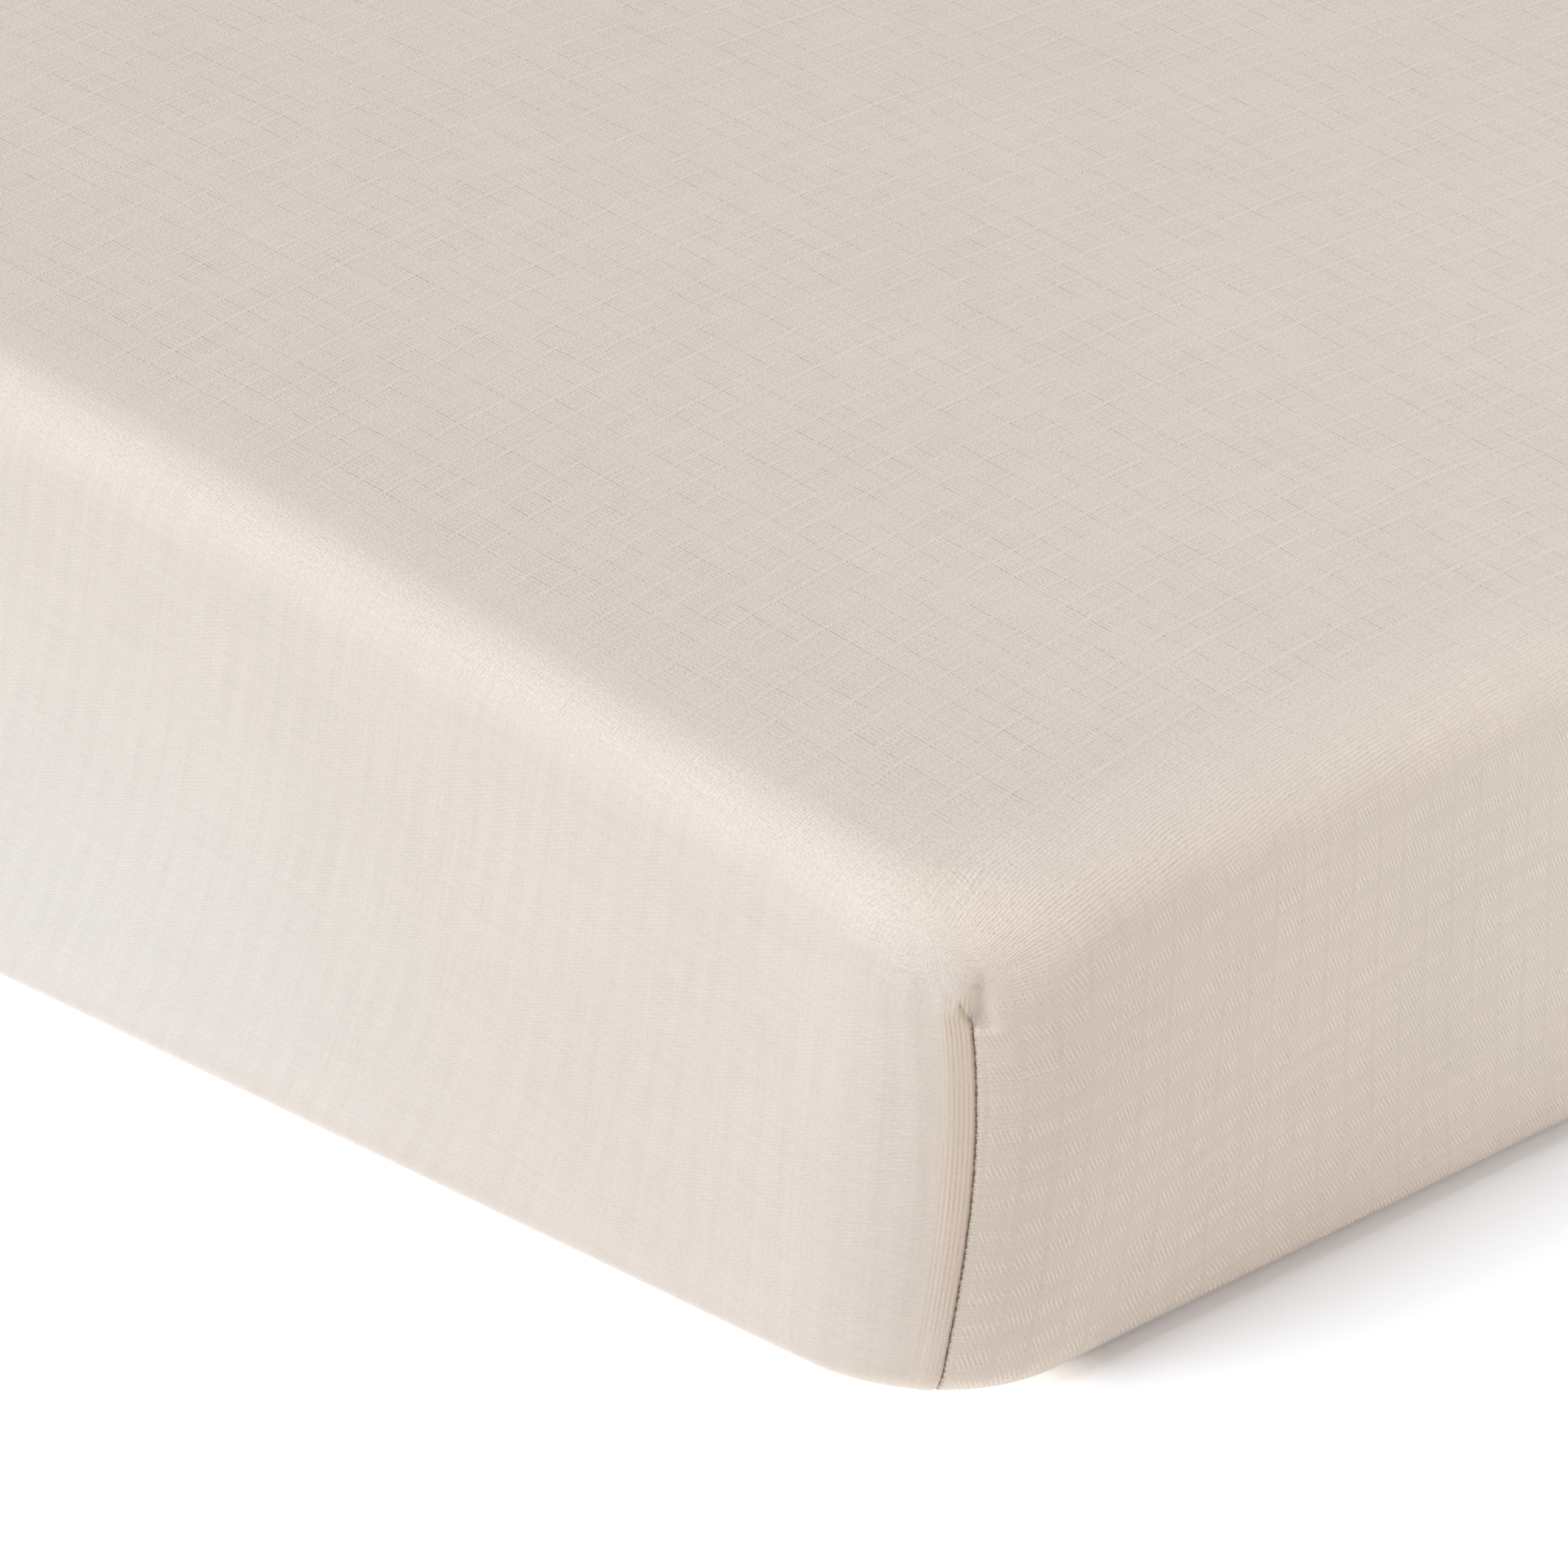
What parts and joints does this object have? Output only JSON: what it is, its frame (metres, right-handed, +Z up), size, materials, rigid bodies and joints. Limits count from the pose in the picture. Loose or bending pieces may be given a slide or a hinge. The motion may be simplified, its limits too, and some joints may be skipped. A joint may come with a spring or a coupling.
{
  "type": "fitted sheet on cot mattress",
  "caption": "Woven muslin fitted sheet stretched over a plain cot mattress, with sewn corner seams and a hem that turns under the mattress.",
  "frame": {"origin": "middle of the footprint, on the surface that the mattress rests on", "axes": "+X along the long side, +Y along the short side, +Z up"},
  "size_m": [1.1998, 0.5998, 0.133],
  "materials": {
    "muslin": "matt sand muslin with a small woven check",
    "ticking": "plain off-white woven mattress cover",
    "thread": "matt sewing thread in the cloth's colour"
  },
  "bodies": {
    "root": {"fitted_sheet": "muslin", "mattress": "ticking"}
  },
  "joints": []
}
